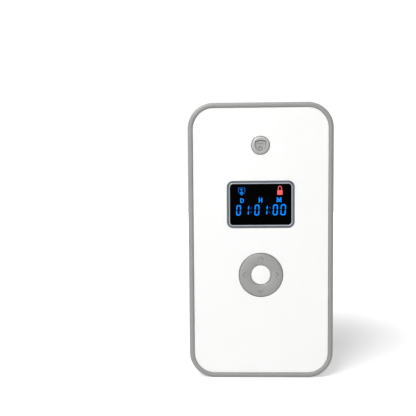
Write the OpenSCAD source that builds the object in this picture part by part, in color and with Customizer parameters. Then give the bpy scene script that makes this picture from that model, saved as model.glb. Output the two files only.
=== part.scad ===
// Timed lock container: an upright, phone-size lock box.
// +Z runs up its long side, the face with the display looks along -Y,
// and the origin is the middle of the foot of the box.

/* [Overall] */
// Width of the box, across the face
body_w = 107; // [104:1:110]
// Height of the box, standing on its short end
body_h = 204.8; // [200:0.4:210]
// Depth from the crest of the bead to the rubber feet
body_d = 58; // [56:1:62]
// Radius of the four corners seen from the front
corner_r = 19; // [18:0.5:20]

/* [Lid] */
// Depth of the lid, from the crest of the bead to the parting line
lid_d = 24; // [24:0.5:25]
// Thickness of the lid's side wall
lid_wall = 2.4; // [2.2:0.1:2.6]
// Width of the grey bead round the face
bead_w = 3.65; // [3.4:0.05:3.9]
// How far the white face plate lies below the crest of the bead
face_drop = 0.7; // [0.6:0.05:0.9]
// Gap at the parting line between lid and tub
seam_gap = 0.3; // [0.2:0.05:0.4]

/* [Tub] */
// Thickness of the tub's side wall
tub_wall = 3.2; // [3:0.1:3.6]
// Thickness of the tub's floor, which is the back of the box
tub_floor = 3; // [2.6:0.1:3.4]
// Radius of the rounded back edge
back_r = 6; // [5:0.5:7]
// Radius of each rubber foot
foot_r = 5; // [4:0.5:6]

/* [Hinge] */
// Radius of the hinge barrel
barrel_r = 3; // [2.8:0.1:3]
// Radius of the hinge pin
pin_r = 1; // [0.8:0.1:1.2]
// Radial running clearance on the hinge pin
pin_gap = 0.05; // [0.03:0.01:0.1]

/* [Display] */
// Height of the middle of the display
disp_z = 130; // [127:0.2:133]
// Outer width of the display bezel
bezel_w = 49.8; // [48:0.2:51]
// Outer height of the display bezel
bezel_h = 34.8; // [34:0.2:36]
// Width of the display glass
glass_w = 44.8; // [43:0.2:45]
// Height of the display glass
glass_h = 30; // [29:0.2:30.4]

/* [Controls] */
// Height of the middle of the mode button
mode_z = 173.4; // [171:0.2:175]
// Diameter of the mode button
mode_d = 13.8; // [13:0.2:14.4]
// Height of the middle of the round navigation pad
nav_z = 77.6; // [75:0.2:80]
// Outer diameter of the navigation ring
ring_d = 33.2; // [32:0.2:34]
// Diameter of the hole in the navigation ring
ring_hole_d = 14.6; // [14.4:0.2:15]
// Travel of the push buttons
press = 0.5; // [0.3:0.05:0.5]

/* [Latch] */
// Travel of the latch bar
latch_travel = 5; // [4.5:0.25:5]
// Module of the rack and the drive pinion
gear_m = 0.8; // [0.8, 0.8]
// Teeth on the drive pinion
gear_n = 10; // [10, 10]

/* [Hidden] */
$fn = 96;

// ---- places along Y ----
y_front = -body_d / 2;                 // crest of the bead
y_back = body_d / 2;                   // underside of the rubber feet
y_seam = y_front + lid_d;              // parting plane and hinge axis
y_face = y_front + face_drop;          // front of the face plate
y_deck0 = y_front + 3.2;               // front of the deck behind the face plate
y_deck1 = y_deck0 + 2;                 // back of that deck
y_pcb0 = y_deck1 + 3.2;                // front of the main board
y_pcb1 = y_pcb0 + 1.6;                 // back of the main board
y_cov0 = y_seam - 4.6;                 // front of the inner cover
y_cov1 = y_seam - 3;                   // back of the inner cover
y_lid1 = y_seam - seam_gap / 2;        // rear edge of the lid
y_tub0 = y_seam + seam_gap / 2;        // front edge of the tub
foot_out = 1.2;                        // how far the feet stand out
y_tub1 = y_back - foot_out;            // flat back of the tub
y_floor = y_tub1 - tub_floor;          // inside of the tub's floor

// ---- places across the face ----
hx = body_w / 2 - corner_r;            // corner centres, from the middle
hz = body_h / 2 - corner_r;
zc = body_h / 2;
hinge_x = -body_w / 2 + barrel_r + 0.2;
cove_r = barrel_r + 2;                 // clearance round the barrel
rail_x = hinge_x + cove_r + 1.8;       // inner side of the hinge rail
bar_x0 = body_w / 2 - 13;              // latch bar
bar_x1 = bar_x0 + 6;
y_motor = (y_deck1 + y_cov0) / 2 - 0.7;// motor axis
motor_z = 38;
y_pitch = y_motor + gear_m * gear_n / 2;// pitch line of the rack
y_bar0 = y_pitch + 1;                  // front of the latch bar
y_bar1 = y_bar0 + 2;
hook_z = [66, 146];                    // tips of the two hooks, unlatched, less 2
boss_lx = -body_w / 2 + 13.5;
boss_rx = body_w / 2 - 17.2;
boss_z = [12, zc, body_h - 12];
board_hole = [[-30, 65], [30, 65], [-30, 186], [30, 186]];
knuckle = [24, 52, 88, 116, 152, 180];
port_y = y_pcb1 + 1.62;

// ---- helpers ----
// A flat shape in X and Z, drawn out along Y from y0 to y1
module slab(y0, y1) {
  translate([0, y1, 0]) rotate([90, 0, 0]) linear_extrude(height = y1 - y0) children();
}

// A rectangle with round corners, centred
module rrect(w, h, r) {
  square([w - 2 * r, h], center = true);
  square([w, h - 2 * r], center = true);
  for (sx = [-1, 1], sy = [-1, 1])
    translate([sx * (w / 2 - r), sy * (h / 2 - r)]) circle(r = r);
}

// The outline of the box, pulled in by inset
module outline(inset = 0) {
  translate([0, zc]) rrect(body_w - 2 * inset, body_h - 2 * inset, corner_r - inset);
}

// Runs a section round the box. The section is drawn in r, measured outwards
// from the corner centre, and -y.
module ring_run() {
  for (sx = [0, 1], sz = [0, 1])
    mirror([sx, 0, 0]) translate([0, 0, zc]) mirror([0, 0, sz]) translate([hx, 0, hz])
      rotate([90, 0, 0]) rotate_extrude(angle = 90) children();
  for (sx = [0, 1])
    mirror([sx, 0, 0]) translate([hx, 0, zc - hz]) linear_extrude(height = 2 * hz)
      mirror([0, 1, 0]) children();
  for (sz = [0, 1])
    translate([0, 0, zc]) mirror([0, 0, sz]) translate([hx, 0, hz]) rotate([0, -90, 0])
      linear_extrude(height = 2 * hx) mirror([0, 1, 0]) children();
}

// A cylinder along Y from y0 to y1, at x and z
module ycyl(x, z, y0, y1, r) {
  translate([x, y1, z]) rotate([90, 0, 0]) cylinder(r = r, h = y1 - y0);
}

// A block given by its two corners
module block(a, b) {
  translate(a) cube(b - a);
}

// A wire swept along a smooth line through the points
function unit(v) = v / norm(v);
function spline(p, i, t) = let (
    a = p[max(i - 1, 0)], b = p[i], c = p[i + 1], d = p[min(i + 2, len(p) - 1)])
  0.5 * (2 * b + (c - a) * t + (2 * a - 5 * b + 4 * c - d) * t * t + (3 * b - a - 3 * c + d) * t * t * t);
function smooth(p, n) = concat([for (i = [0 : len(p) - 2], k = [0 : n - 1]) spline(p, i, k / n)], [p[len(p) - 1]]);
module wire(pts, r, n = 8) {
  q = smooth(pts, 4);
  m = len(q);
  rings = [for (i = [0 : m - 1])
    let (t = unit(q[min(i + 1, m - 1)] - q[max(i - 1, 0)]),
         u = unit(cross(t, [0.31, 1, 0.17])), v = cross(t, u))
    for (k = [0 : n - 1]) q[i] + r * (u * cos(360 * k / n) + v * sin(360 * k / n))];
  polyhedron(rings, concat(
    [[for (k = [n - 1 : -1 : 0]) k]],
    [for (i = [0 : m - 2], k = [0 : n - 1]) [i * n + k, i * n + (k + 1) % n, (i + 1) * n + (k + 1) % n, (i + 1) * n + k]],
    [[for (k = [0 : n - 1]) (m - 1) * n + k]]));
}

// A pan-head screw along Y: the head sits on y0 and stands towards +Y
module yscrew(x, z, y0, shank, r, head_r, head_h) {
  difference() {
    union() {
      ycyl(x, z, y0 - shank, y0 + 0.01, r);
      ycyl(x, z, y0, y0 + head_h, head_r);
    }
    for (a = [0, 90])
      translate([x, y0 + head_h, z]) rotate([0, a, 0])
        cube([head_r * 1.3, head_h * 1.1, 0.45], center = true);
  }
}

// ---- tub ----
module tub_section() {
  difference() {
    union() {
      translate([0, -y_tub1]) square([corner_r - back_r, y_tub1 - y_tub0]);
      translate([0, -y_tub1 + back_r]) square([corner_r, y_tub1 - y_tub0 - back_r]);
      translate([corner_r - back_r, -y_tub1 + back_r]) circle(r = back_r);
    }
    translate([-1, -y_floor]) square([corner_r - tub_wall - 3 + 1, y_floor - y_tub0 + 1]);
    translate([-1, -y_floor + 3]) square([corner_r - tub_wall + 1, y_floor - y_tub0 - 2]);
    translate([corner_r - tub_wall - 3, -y_floor + 3]) circle(r = 3);
  }
}

module knuckle_shape(side) {
  translate([hinge_x, y_seam]) {
    circle(r = barrel_r);
    translate([-1.6, side > 0 ? 0 : -cove_r - 1.2]) square([4.2, cove_r + 1.2]);
  }
}

// One rail beside the hinge, from y0 to y1, in the outline of the box
module hinge_rail(y0, y1) {
  slab(y0, y1) intersection() {
    outline(0);
    translate([-body_w / 2 - 1, 0]) square([rail_x + body_w / 2 + 1, body_h]);
  }
}

module cove() {
  translate([hinge_x, y_seam, 7]) cylinder(r = cove_r, h = body_h - 14);
}

module base_tub() {
  color("white") difference() {
    union() {
      ring_run() tub_section();
      block([-hx, y_floor, zc - hz], [hx, y_tub1, zc + hz]);
      // lip that reaches into the lid, on the three sides away from the hinge
      difference() {
        ring_run()
          translate([corner_r - lid_wall - 2.3, -y_seam - 3.5]) square([1.9, 6]);
        block([-body_w, y_front, -1], [rail_x + 1, y_back, body_h + 1]);
      }
      hinge_rail(y_tub0, y_seam + cove_r + 1.8);
      // pads that carry the strikes
      for (z = hook_z)
        block([body_w / 2 - 6.2, y_seam + 3.8, z + 1.2],
              [body_w / 2 - tub_wall + 0.5, y_seam + 17, z + 17.2]);
    }
    // the cove goes through the tub's own wall
    cove();
    // screw holes in the strike pads
    for (z = hook_z, y = [9, 14])
      translate([body_w / 2 - 6.3, y_seam + y, z + 9.2]) rotate([0, 90, 0])
        cylinder(r = 1.02, h = 4);
    // seats for the rubber feet
    for (sx = [-1, 1], sz = [-1, 1])
      ycyl(sx * 34, zc + sz * 82, y_tub1 - 0.8, y_tub1 + 1, foot_r + 0.05);
  }
  // tub knuckles: the first is blind below, so the pin can't fall out
  color("white") for (i = [0, 2, 4])
    difference() {
      translate([0, 0, knuckle[i]]) linear_extrude(height = knuckle[i + 1] - knuckle[i])
        intersection() {
          knuckle_shape(1);
          translate([hinge_x, y_seam]) circle(r = cove_r + 0.25);
        }
      translate([hinge_x, y_seam, i == 0 ? knuckle[0] + 2 : knuckle[i] - 1])
        cylinder(r = pin_r + pin_gap, h = knuckle[5] - knuckle[0]);
    }
}

module hinge_pin() {
  color("silver") translate([hinge_x, y_seam, knuckle[0] + 2.2])
    cylinder(r = pin_r, h = knuckle[5] - knuckle[0] - 2.2);
}

module strike_plates() {
  color("silver") for (z = hook_z)
    difference() {
      union() {
        block([body_w / 2 - 7.7, y_seam + 3.8, z + 3.2], [body_w / 2 - 6.2, y_seam + 17, z + 15.2]);
        block([bar_x0, y_seam + 3.8, z + 3.2], [body_w / 2 - 7.6, y_seam + 5.3, z + 15.2]);
      }
      for (y = [9, 14])
        translate([body_w / 2 - 8, y_seam + y, z + 9.2]) rotate([0, 90, 0])
          cylinder(r = 1.15, h = 4);
    }
}

module strike_screws() {
  color("gray") for (z = hook_z, y = [9, 14])
    translate([body_w / 2 - 7.7, y_seam + y, z + 9.2]) rotate([0, 90, 0]) difference() {
      union() {
        translate([0, 0, -0.2]) cylinder(r = 1, h = 4.8);
        translate([0, 0, -0.8]) cylinder(r = 1.9, h = 0.8);
      }
      translate([0, 0, -0.8]) cube([0.45, 2.4, 0.9], center = true);
    }
}

module cavity_pad() {
  color("dimgray") slab(y_floor - 2, y_floor) {
    translate([0, zc]) rrect(92, body_h - 15, 11);
  }
}

module rubber_feet() {
  color("gray") for (sx = [-1, 1], sz = [-1, 1])
    translate([sx * 34, y_tub1 - 0.8, zc + sz * 82]) rotate([-90, 0, 0])
      rotate_extrude() {
        square([foot_r, 1.4]);
        square([foot_r - 0.6, 2]);
        intersection() {
          translate([foot_r - 0.6, 1.4]) circle(r = 0.6, $fn = 32);
          square([foot_r, 2]);
        }
      }
}

// ---- lid ----
module lid_section() {
  difference() {
    translate([0, -y_lid1]) square([corner_r, y_lid1 - y_deck0]);
    translate([-1, -y_lid1 - 1]) square([corner_r - lid_wall + 1, y_lid1 - y_deck1 + 1]);
  }
}

module lid_shell() {
  color("white") difference() {
    union() {
      ring_run() lid_section();
      block([-hx, y_deck0, zc - hz], [hx, y_deck1, zc + hz]);
      hinge_rail(y_seam - cove_r - 1.8, y_lid1);
      // bosses for the inner cover
      for (z = boss_z, x = [boss_lx, boss_rx]) ycyl(x, z, y_deck1 - 0.5, y_cov0, 2.8);
      // posts for the main board
      for (p = board_hole) ycyl(p[0], p[1], y_deck1 - 0.5, y_pcb0, 2.4);
      // motor saddle and clamp posts
      for (x = [17, 33]) block([x, y_deck1 - 0.5, motor_z - 5], [x + 2, y_motor - 5, motor_z + 5]);
      for (s = [-1, 1]) ycyl(25, motor_z + s * 9.2, y_deck1 - 0.5, y_motor + 5, 2.4);
      // fence round the battery
      block([-1.8, y_deck1 - 0.5, 14], [-0.8, y_deck1 + 6, 50]);
      block([-30, y_deck1 - 0.5, 57.9], [-8, y_deck1 + 3, 58.9]);
    }
    cove();
    // window for the display module
    slab(y_deck0 - 1, y_deck1 + 1) translate([0, disp_z]) rrect(47, 32, 1);
    // guides of the two push buttons
    slab(y_deck0 - 1, y_deck1 + 1) translate([0, mode_z]) square(5.6, center = true);
    slab(y_deck0 - 1, y_deck1 + 1) translate([0, nav_z]) square(5.6, center = true);
    // holes for the feet of the navigation ring
    for (a = [0 : 90 : 270])
      ycyl(12 * cos(a), nav_z + 12 * sin(a), y_deck0 - 1, y_deck1 + 1, 2.3);
    // charging inlet in the top end
    translate([0, port_y, body_h - 5]) linear_extrude(height = 10) rrect(9.5, 3.7, 1.8);
    translate([0, port_y, body_h - 0.7]) linear_extrude(height = 2) rrect(11.6, 5.8, 2.8);
    // screw holes
    for (z = boss_z, x = [boss_lx, boss_rx]) ycyl(x, z, y_cov0 - 8, y_cov0 + 1, 1.27);
    for (p = board_hole) ycyl(p[0], p[1], y_pcb0 - 3, y_pcb0 + 1, 1.02);
    for (s = [-1, 1]) ycyl(25, motor_z + s * 9.2, y_motor - 1, y_motor + 6, 1.02);
  }
  // lid knuckles
  color("white") for (i = [1, 3])
    translate([0, 0, knuckle[i] + 0.35]) linear_extrude(height = knuckle[i + 1] - knuckle[i] - 0.7)
      difference() {
        intersection() {
          knuckle_shape(-1);
          translate([hinge_x, y_seam]) circle(r = cove_r + 0.25);
        }
        translate([hinge_x, y_seam]) circle(r = pin_r + pin_gap + 0.02);
      }
}

module face_plate() {
  color("white") difference() {
    union() {
      slab(y_face + 0.35, y_deck0) outline(bead_w + 0.12);
      slab(y_face, y_face + 0.36) outline(bead_w + 0.35);
    }
    slab(y_front - 1, y_back) translate([0, disp_z]) rrect(bezel_w + 0.24, bezel_h + 0.24, 4.62);
    ycyl(0, mode_z, y_front - 1, y_deck0 + 1, mode_d / 2 + 0.3);
    ycyl(0, nav_z, y_front - 1, y_deck0 + 1, ring_d / 2 + 0.3);
  }
}

module bead_section() {
  r = 2.1;
  intersection() {
    translate([corner_r - bead_w, -y_deck0]) square([bead_w, 3.4]);
    union() {
      translate([corner_r - bead_w / 2, -y_front - r]) circle(r = r);
      translate([corner_r - bead_w, -y_deck0]) square([bead_w, -y_front - r + y_deck0]);
    }
  }
}

module trim_bead() {
  color([0.62, 0.63, 0.63]) ring_run() bead_section();
}

module display_bezel() {
  color([0.6, 0.63, 0.67]) difference() {
    union() {
      slab(y_front + 0.5, y_deck0) translate([0, disp_z]) rrect(bezel_w, bezel_h, 4.5);
      slab(y_front + 0.15, y_front + 0.51)
        translate([0, disp_z]) rrect(bezel_w - 0.7, bezel_h - 0.7, 4.15);
    }
    slab(y_front - 1, y_back) translate([0, disp_z]) rrect(glass_w, glass_h, 2);
    slab(y_front - 1, y_front + 0.5) translate([0, disp_z]) rrect(glass_w + 0.6, glass_h + 0.6, 2.3);
  }
}

module display_glass() {
  color("black") slab(y_front + 1.1, y_front + 2.3)
    translate([0, disp_z]) rrect(glass_w - 0.1, glass_h - 0.1, 1.95);
}

// ---- lit signs of the display, drawn about its middle ----
slant = tan(2.5);
function sl(p, h) = [for (q = p) [q[0] + (q[1] - h) * slant, q[1]]];

// One bar of a seven-bar digit, between two points on the same row or column
module bar_v(x, y0, y1, t) {
  c = t / 2;
  polygon(sl([[x - c, y0 + c], [x, y0], [x + c, y0 + c], [x + c, y1 - c], [x, y1], [x - c, y1 - c]], -4.2));
}
module bar_h(x0, x1, y, t) {
  c = t / 2;
  polygon(sl([[x0, y], [x0 + c, y + c], [x1 - c, y + c], [x1, y], [x1 - c, y - c], [x0 + c, y - c]], -4.2));
}

// A digit 0 or 1 with its left side at x and its foot at y
module digit(n, x, y, w = 4.9, h = 8.8, t = 1.1) {
  g = 0.14;
  a = t / 2;
  x0 = x + a; x1 = x + w - a;
  y0 = y + a; y1 = y + h / 2; y2 = y + h - a;
  bar_v(x1, y0 + g, y1 - g, t);
  bar_v(x1, y1 + g, y2 - g, t);
  if (n == 0) {
    bar_v(x0, y0 + g, y1 - g, t);
    bar_v(x0, y1 + g, y2 - g, t);
    bar_h(x0 + g, x1 - g, y0, t);
    bar_h(x0 + g, x1 - g, y2, t);
  }
}

module shield_shape(w, h) {
  polygon([[-w / 2, h / 2 - 0.1 * h], [-w * 0.28, h / 2 - 0.1 * h], [0, h / 2], [w * 0.28, h / 2 - 0.1 * h],
           [w / 2, h / 2 - 0.1 * h], [w / 2, -h * 0.08], [w * 0.4, -h * 0.26], [w * 0.2, -h * 0.42],
           [0, -h / 2], [-w * 0.2, -h * 0.42], [-w * 0.4, -h * 0.26], [-w / 2, -h * 0.08]]);
}

module lit_segments() {
  color([0.05, 0.5, 1]) slab(y_front + 1.02, y_front + 1.1) translate([0, disp_z]) {
    digit(0, -19.2, -8.6);
    digit(1, -13.3, -8.6);
    digit(0, -5.5, -8.6);
    digit(1, 0.4, -8.6);
    digit(0, 8.1, -8.6);
    digit(0, 14.1, -8.6);
    for (x = [-7.1, 6.5], y = [-2.5, -5.9]) translate([x, y]) circle(r = 0.5, $fn = 24);
    // D
    translate([-15.7, 1]) difference() {
      union() {
        square([2, 4]);
        translate([1.6, 2]) circle(r = 2);
      }
      translate([1, 0.85]) square([0.7, 2.3]);
      translate([1.55, 2]) circle(r = 1.15);
      translate([-3, -1]) square([3, 6]);
    }
    // H
    translate([-2, 1]) {
      square([1.05, 4]);
      translate([2.5, 0]) square([1.05, 4]);
      translate([0, 1.6]) square([3.5, 0.85]);
    }
    // M
    translate([11.4, 1]) polygon([[0, 0], [0, 4], [1.2, 4], [2, 2.2], [2.8, 4], [4, 4], [4, 0], [3.05, 0],
                                  [3.05, 2.2], [2.4, 0.8], [1.6, 0.8], [0.95, 2.2], [0.95, 0]]);
    // shield with a keyhole
    translate([-14.15, 9.9]) {
      difference() {
        shield_shape(5.9, 6.4);
        shield_shape(4.3, 4.8);
      }
      translate([0, 0.5]) circle(r = 0.85, $fn = 32);
      polygon([[-0.35, 0.4], [0.35, 0.4], [0.75, -1.5], [-0.75, -1.5]]);
    }
  }
}

module lit_padlock() {
  color([1, 0.4, 0.42]) slab(y_front + 1.02, y_front + 1.1) translate([14.1, disp_z]) {
    difference() {
      translate([-2.3, 6.7]) square([4.6, 4.2]);
      translate([0, 9.1]) circle(r = 0.5, $fn = 24);
      translate([-0.25, 7.7]) square([0.5, 1.3]);
    }
    difference() {
      union() {
        translate([0, 12.2]) circle(r = 1.75);
        translate([-1.75, 10.8]) square([3.5, 1.4]);
      }
      translate([0, 12.2]) circle(r = 1.05);
      translate([-1.05, 10.9]) square([2.1, 1.3]);
    }
  }
}

module display_module() {
  color([0.1, 0.1, 0.11]) {
    slab(y_front + 2.3, y_pcb0) translate([0, disp_z]) rrect(glass_w - 0.5, glass_h - 0.5, 1.6);
  }
}

// ---- electronics in the lid ----
module main_board() {
  color([0.05, 0.35, 0.2]) difference() {
    slab(y_pcb0, y_pcb1) union() {
      translate([0, 60]) translate([-34, 0]) square([67, 128]);
      translate([-24, 187]) square([48, body_h - 3.4 - 187]);
    }
    for (p = board_hole) ycyl(p[0], p[1], y_pcb0 - 1, y_pcb1 + 1, 1.2);
  }
}

module board_components() {
  // controller, display driver, motor driver, regulator, crystal, plugs and small parts
  color([0.12, 0.12, 0.13]) {
    block([-8, y_pcb1, 98], [4, y_pcb1 + 1.4, 110]);
    block([-26, y_pcb1, 120], [-16, y_pcb1 + 1.2, 126]);
    block([16, y_pcb1, 70], [21, y_pcb1 + 1.5, 74]);
    block([-14, y_pcb1, 176], [-7, y_pcb1 + 1.5, 182]);
    block([14, y_pcb1, 98], [18, y_pcb1 + 1.1, 109]);
    for (i = [0 : 5]) block([8, y_pcb1, 120 + 4 * i], [10, y_pcb1 + 0.7, 121.2 + 4 * i]);
    for (i = [0 : 4]) block([-24 + 4 * i, y_pcb1, 90], [-22.8 + 4 * i, y_pcb1 + 0.7, 92]);
  }
  color("ivory") {
    block([18, y_pcb1, 61.5], [26, y_pcb1 + 5, 66.5]);
    block([-20, y_pcb1, 61.5], [-12, y_pcb1 + 5, 66.5]);
  }
}

module tact_switches() {
  color([0.2, 0.2, 0.2]) {
    for (p = [[0, mode_z], [0, nav_z], [12, nav_z], [-12, nav_z], [0, nav_z + 12], [0, nav_z - 12]]) {
      block([p[0] - 3, y_pcb0 - 1.5, p[1] - 3], [p[0] + 3, y_pcb0, p[1] + 3]);
      ycyl(p[0], p[1], y_pcb0 - 1.9, y_pcb0 - 1.5, 1.6);
    }
  }
}

module usb_port() {
  color("silver") translate([0, port_y, body_h - 10]) difference() {
    linear_extrude(height = 9.1) rrect(8.94, 3.2, 1.5);
    translate([0, 0, 1.5]) linear_extrude(height = 9) rrect(8.34, 2.6, 1.25);
  }
  color([0.1, 0.1, 0.1]) block([-3.3, port_y - 0.35, body_h - 8.6], [3.3, port_y + 0.35, body_h - 2.5]);
}

module buzzer() {
  color([0.12, 0.12, 0.12]) difference() {
    ycyl(-20, 152, y_pcb1, y_pcb1 + 5.4, 6);
    ycyl(-20, 152, y_pcb1 + 4.6, y_pcb1 + 6, 1.1);
  }
}

module board_screws() {
  color("silver") for (p = board_hole) yscrew(p[0], p[1], y_pcb1, 4.2, 1, 1.9, 1.2);
}

module battery_cell() {
  color([0.75, 0.76, 0.78]) slab(y_deck1 + 0.2, y_deck1 + 10.2)
    translate([-19.5, 32.3]) rrect(34, 50, 1.5);
}

module battery_leads() {
  color("red") wire([[-13, y_deck1 + 8, 57.4], [-13.2, y_deck1 + 8, 59], [-14.6, y_pcb1 + 3, 60.2], [-14.6, y_pcb1 + 3, 61.4]], 0.6);
  color([0.1, 0.1, 0.1]) wire([[-20, y_deck1 + 8, 57.4], [-19.6, y_deck1 + 8, 59], [-17.6, y_pcb1 + 3, 60.2], [-17.6, y_pcb1 + 3, 61.4]], 0.6);
}

// ---- drive ----
module motor_can() {
  color("silver") intersection() {
    translate([14, y_motor, motor_z]) rotate([0, 90, 0]) cylinder(r = 6, h = 15);
    block([13, y_motor - 5, motor_z - 7], [30, y_motor + 5, motor_z + 7]);
  }
}

module gearbox() {
  color("goldenrod") difference() {
    block([29, y_motor - 5, motor_z - 6], [38, y_motor + 5, motor_z + 6]);
    translate([28, y_motor, motor_z]) rotate([0, 90, 0]) cylinder(r = 1.56, h = 11);
  }
}

module motor_shaft() {
  color("silver") translate([29.3, y_motor, motor_z]) rotate([0, 90, 0]) cylinder(r = 1.5, h = 17);
}

module motor_clamp() {
  color("silver") difference() {
    block([21, y_motor + 5, motor_z - 12.5], [29, y_motor + 5.8, motor_z + 12.5]);
    for (s = [-1, 1]) ycyl(25, motor_z + s * 9.2, y_motor + 4, y_motor + 7, 1.2);
  }
}

module clamp_screws() {
  color("silver") for (s = [-1, 1])
    yscrew(25, motor_z + s * 9.2, y_motor + 5.8, 5, 1, 1.9, 1.1);
}

module motor_leads() {
  color("red") wire([[13.9, y_motor, motor_z + 2.5], [11.6, y_motor, motor_z + 3.6], [11, y_motor, motor_z + 10],
                     [13, y_pcb1 + 2.6, 55], [20.5, y_pcb1 + 3, 58.5], [20.5, y_pcb1 + 3, 61.4]], 0.6);
  color([0.1, 0.1, 0.1]) wire([[13.9, y_motor, motor_z - 2.5], [10, y_motor, motor_z - 1], [8.6, y_motor, motor_z + 10],
                     [10.5, y_pcb1 + 5, 56], [19.5, y_pcb1 + 5.4, 57.4], [23.5, y_pcb1 + 4, 59.8], [23.5, y_pcb1 + 4, 61.35]], 0.6);
}

// Drive pinion: involute teeth, about its own middle, with a gap on the +X side
function inv_pt(rb, t) = [rb * (cos(t) + t * PI / 180 * sin(t)), rb * (sin(t) - t * PI / 180 * cos(t))];
function inv_ang(rb, r) = let (t = sqrt(pow(r / rb, 2) - 1) * 180 / PI) t - atan(t * PI / 180);
function rot(p, a) = [p[0] * cos(a) - p[1] * sin(a), p[0] * sin(a) + p[1] * cos(a)];

module pinion_shape() {
  rp = gear_m * gear_n / 2;
  rb = rp * cos(20);
  ra = rp + gear_m;
  rr = rp - 0.6;
  half = 90 / gear_n - 0.06 / rp * 180 / PI + inv_ang(rb, rp);   // half tooth angle at the base circle
  tmax = sqrt(pow(ra / rb, 2) - 1) * 180 / PI;
  for (i = [0 : gear_n - 1]) rotate((i + 0.5) * 360 / gear_n) {
    flank = [for (k = [0 : 6]) rot(inv_pt(rb, tmax * k / 6), -half)];
    polygon(concat([rot([rr - 0.3, 0], -half)], flank,
      [for (k = [6 : -1 : 0]) [flank[k][0], -flank[k][1]]], [rot([rr - 0.3, 0], half)]));
  }
  circle(r = rr);
}

module drive_pinion() {
  color("ivory") translate([bar_x0 + 0.1, y_motor, motor_z]) rotate([0, 90, 0]) rotate([0, 0, 90])
    linear_extrude(height = 4.8) difference() {
      pinion_shape();
      circle(r = 1.5);
    }
}

module latch_bar() {
  color("silver") {
    block([bar_x0, y_bar0, 25], [bar_x1, y_bar1, 160]);
    for (k = [-4 : 2])
      translate([bar_x0 + 0.5, y_pitch, motor_z + k * gear_m * PI]) rotate([0, 90, 0]) rotate([0, 0, 90])
        linear_extrude(height = 4) {
          p = gear_m * PI / 4 - 0.06;
          polygon([[1.02, -p - 1.02 * tan(20)], [1.02, p + 1.02 * tan(20)],
                   [-0.45, p - 0.45 * tan(20)], [-0.45, -p + 0.45 * tan(20)]]);
        }
  }
}

module latch_hooks() {
  color("silver") for (z = hook_z) {
    block([bar_x0 + 1, y_bar1, z - 6], [bar_x0 + 5, y_seam + 7.8, z - 2.5]);
    block([bar_x0 + 1, y_seam + 5.7, z - 2.6], [bar_x0 + 5, y_seam + 7.8, z + 2]);
  }
}

module latch_guides() {
  color([0.2, 0.2, 0.22]) for (z = [84, 120]) {
    block([bar_x0 - 1.6, y_bar0 - 1.5, z], [bar_x0 - 0.3, y_cov0, z + 6]);
    block([bar_x1 + 0.3, y_bar0 - 1.5, z], [bar_x1 + 1.6, y_cov0, z + 6]);
    block([bar_x0 - 1.6, y_bar0 - 1.5, z], [bar_x1 + 1.6, y_bar0 - 0.3, z + 6]);
  }
}

module latch_switch() {
  color([0.12, 0.12, 0.13]) {
    block([bar_x0, y_cov0 - 4.4, 166], [bar_x1, y_cov0, 174]);
    translate([bar_x0 + 3, y_cov0 - 2, 165.3]) cylinder(r = 0.9, h = 0.8);
  }
}

module inner_cover() {
  color("white") difference() {
    slab(y_cov0, y_cov1) intersection() {
      outline(lid_wall + 0.3);
      translate([rail_x + 0.3, 0]) square([body_w, body_h]);
    }
    for (z = hook_z)
      block([bar_x0 + 0.5, y_cov0 - 1, z - 6.6], [bar_x0 + 5.5, y_cov1 + 1, z + 7.6]);
    for (z = boss_z, x = [boss_lx, boss_rx]) {
      ycyl(x, z, y_cov0 - 1, y_cov1 + 1, 1.45);
      ycyl(x, z, y_cov1 - 0.7, y_cov1 + 1, 2.7);
    }
  }
}

module cover_screws() {
  color("silver") for (z = boss_z, x = [boss_lx, boss_rx])
    yscrew(x, z, y_cov1 - 0.7, 7.5, 1.25, 2.4, 1.1);
}

// ---- controls ----
module mode_button() {
  r = mode_d / 2;
  color([0.66, 0.67, 0.67]) difference() {
    union() {
      translate([0, y_front + 2.3, mode_z]) rotate([90, 0, 0]) rotate_extrude() {
        square([r, 1.7]);
        square([r - 0.5, 2.2]);
        translate([r - 0.5, 1.7]) circle(r = 0.5, $fn = 32);
      }
      block([-2.5, y_front + 2.2, mode_z - 2.5], [2.5, y_deck1 + 0.1, mode_z + 2.5]);
      ycyl(0, mode_z, y_deck1 + 0.1, y_deck1 + 0.7, 4.4);
    }
    // dished middle
    ycyl(0, mode_z, y_front - 1, y_front + 0.45, r - 1.2);
    // shield sunk in the dish
    slab(y_front, y_front + 0.7) translate([0, mode_z - 0.1]) difference() {
      shield_shape(7.6, 8.2);
      translate([0, -1.6]) circle(r = 0.95, $fn = 32);
      translate([-2.4, 0.9]) square([4.8, 0.7]);
    }
  }
}

module centre_button() {
  r = ring_hole_d / 2 - 0.3;
  color("white") union() {
    translate([0, y_front + 2.2, nav_z]) rotate([90, 0, 0]) rotate_extrude() {
      square([r, 1.5]);
      square([r - 0.4, 1.9]);
      translate([r - 0.4, 1.5]) circle(r = 0.4, $fn = 32);
    }
    block([-2.5, y_front + 2.1, nav_z - 2.5], [2.5, y_deck1 + 0.1, nav_z + 2.5]);
    ycyl(0, nav_z, y_deck1 + 0.1, y_deck1 + 0.7, 4.2);
  }
}

module chevron(r) {
  polygon([[0, r], [2.4, r - 2.2], [1.85, r - 2.75], [0, r - 1.05], [-1.85, r - 2.75], [-2.4, r - 2.2]]);
}

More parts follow.
